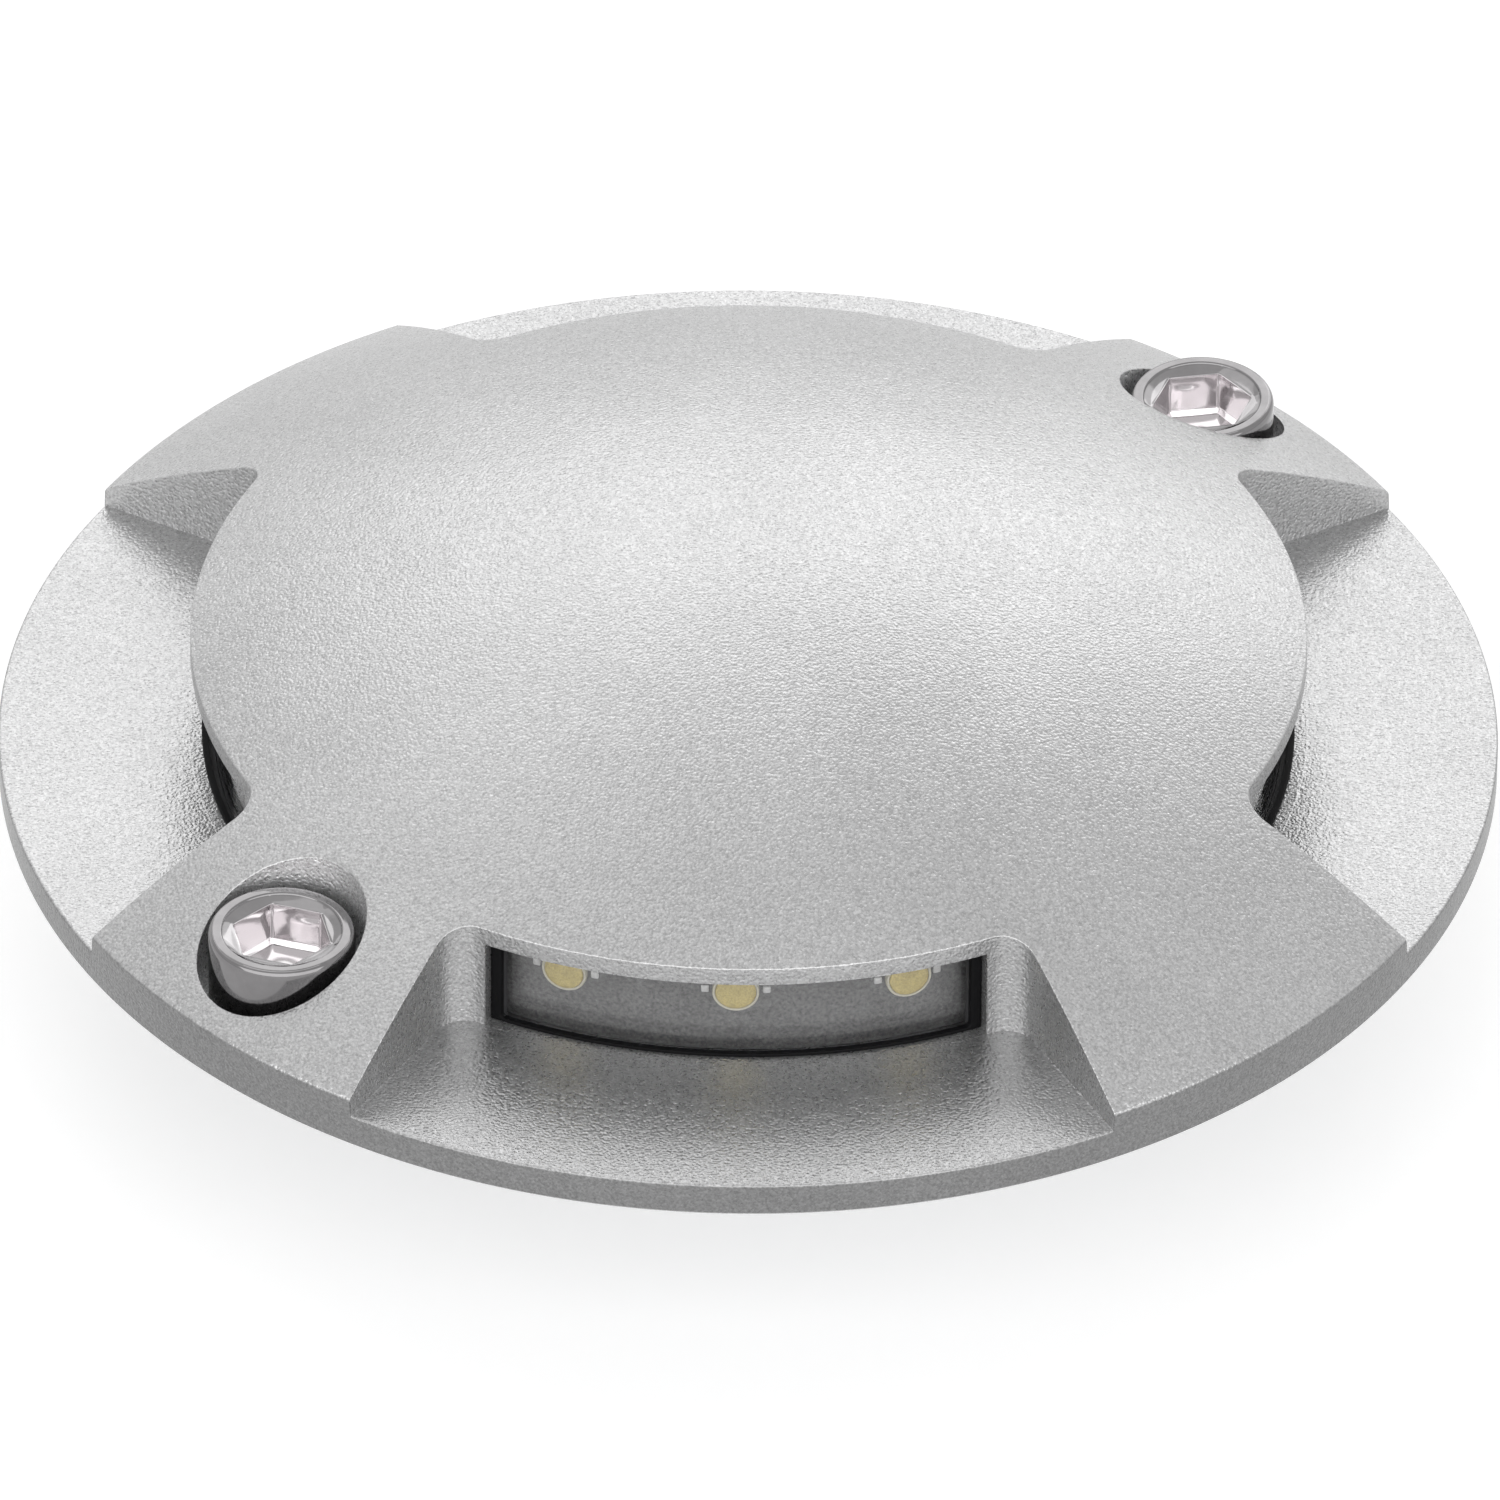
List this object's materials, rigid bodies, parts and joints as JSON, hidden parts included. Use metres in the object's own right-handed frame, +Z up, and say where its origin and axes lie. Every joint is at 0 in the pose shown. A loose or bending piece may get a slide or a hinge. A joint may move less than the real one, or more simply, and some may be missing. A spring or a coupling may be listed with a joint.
{
  "type": "recessed light",
  "caption": "Drive-over recessed light: round flange with a low cast dome, side windows with LEDs behind glass, and socket head fixing screws over a shallow driver pot.",
  "frame": {"origin": "centre of the flange's underside, on the axis of the round cover", "axes": "+Z up, out of the ground; -Y towards the front window, +X to the right; the fixing studs stand at 45 and 225 degrees"},
  "size_m": [0.14, 0.14, 0.0482],
  "materials": {
    "cast_cover": "fine sand texture, silver grey powder coat on a casting",
    "clear_glass": "clear polished",
    "black_rubber": "matt black",
    "board_grey": "dark grey matt",
    "led_phosphor": "pale yellow phosphor",
    "solder_white": "white",
    "carrier_grey": "dark grey anodised",
    "zinc_screw": "bright zinc",
    "machined_aluminium": "plain machined",
    "board_green": "green solder mask",
    "spacer_brass": "plain brass",
    "red_insulation": "red insulation",
    "blue_insulation": "blue insulation",
    "potting_black": "black potting compound",
    "terminal_plastic": "pale grey plastic",
    "black_plastic": "black moulded plastic",
    "nickel_brass": "nickel plated brass",
    "pale_plastic": "natural nylon",
    "polished_stainless": "polished stainless steel"
  },
  "bodies": {
    "light_body": {"cover": "cast_cover", "window_glass_front": "clear_glass", "window_glass_right": "clear_glass", "window_glass_back": "clear_glass", "window_glass_left": "clear_glass", "window_gasket_front": "black_rubber", "window_gasket_right": "black_rubber", "window_gasket_back": "black_rubber", "window_gasket_left": "black_rubber", "led_board_front": "board_grey", "led_board_right": "board_grey", "led_board_back": "board_grey", "led_board_left": "board_grey", "leds_front": "led_phosphor", "leds_right": "led_phosphor", "leds_back": "led_phosphor", "leds_left": "led_phosphor", "solder_pads_front": "solder_white", "solder_pads_right": "solder_white", "solder_pads_back": "solder_white", "solder_pads_left": "solder_white", "led_carrier": "carrier_grey", "carrier_screws": "zinc_screw", "base_plate": "machined_aluminium", "base_seal": "black_rubber", "base_screws": "zinc_screw", "distribution_board": "board_green", "board_spacers": "spacer_brass", "board_screws": "zinc_screw", "jumper_leads": "red_insulation", "supply_leads": "blue_insulation", "wire_grommet": "black_rubber", "driver_pot": "machined_aluminium", "pot_seal": "black_rubber", "driver": "potting_black", "terminal_block": "terminal_plastic", "terminal_screws": "zinc_screw", "earth_screw": "zinc_screw", "vent_plug": "black_plastic", "gland_body": "nickel_brass", "gland_seal": "black_rubber"},
    "washer_front_left": {"washer_front_left": "pale_plastic"},
    "washer_back_right": {"washer_back_right": "pale_plastic"},
    "screw_front_left": {"fixing_screw_front_left": "polished_stainless"},
    "screw_back_right": {"fixing_screw_back_right": "polished_stainless"},
    "slip_ring": {"gland_clamp_ring": "pale_plastic"},
    "gland_nut": {"gland_nut": "nickel_brass"}
  },
  "joints": [
    {"name": "screw_lift_front_left", "type": "slide", "parent": "light_body", "child": "washer_front_left", "axis": [0, 0, 1], "range_m": [0, 0.01]},
    {"name": "screw_turn_front_left", "type": "hinge", "parent": "washer_front_left", "child": "screw_front_left", "pos_m": [-0.04243, -0.04243, 0.0033], "axis": [0, 0, 1], "range_deg": [0, 2880]},
    {"name": "screw_lift_back_right", "type": "slide", "parent": "light_body", "child": "washer_back_right", "axis": [0, 0, 1], "range_m": [0, 0.01]},
    {"name": "screw_turn_back_right", "type": "hinge", "parent": "washer_back_right", "child": "screw_back_right", "pos_m": [0.04243, 0.04243, 0.0033], "axis": [0, 0, 1], "range_deg": [0, 2880]},
    {"name": "slip_ring_travel", "type": "slide", "parent": "light_body", "child": "slip_ring", "axis": [0, 1, 0], "range_m": [0, 0.0045]},
    {"name": "gland_nut_turn", "type": "hinge", "parent": "slip_ring", "child": "gland_nut", "pos_m": [0, 0.045, -0.01425], "axis": [0, 1, 0], "range_deg": [0, 1080]}
  ],
  "couplings": [
    {"joint": "screw_lift_front_left", "follows": "screw_turn_front_left", "m_per_rad": 0.00019894},
    {"joint": "screw_lift_back_right", "follows": "screw_turn_back_right", "m_per_rad": 0.00019894},
    {"joint": "slip_ring_travel", "follows": "gland_nut_turn", "m_per_rad": 0.00023873}
  ]
}
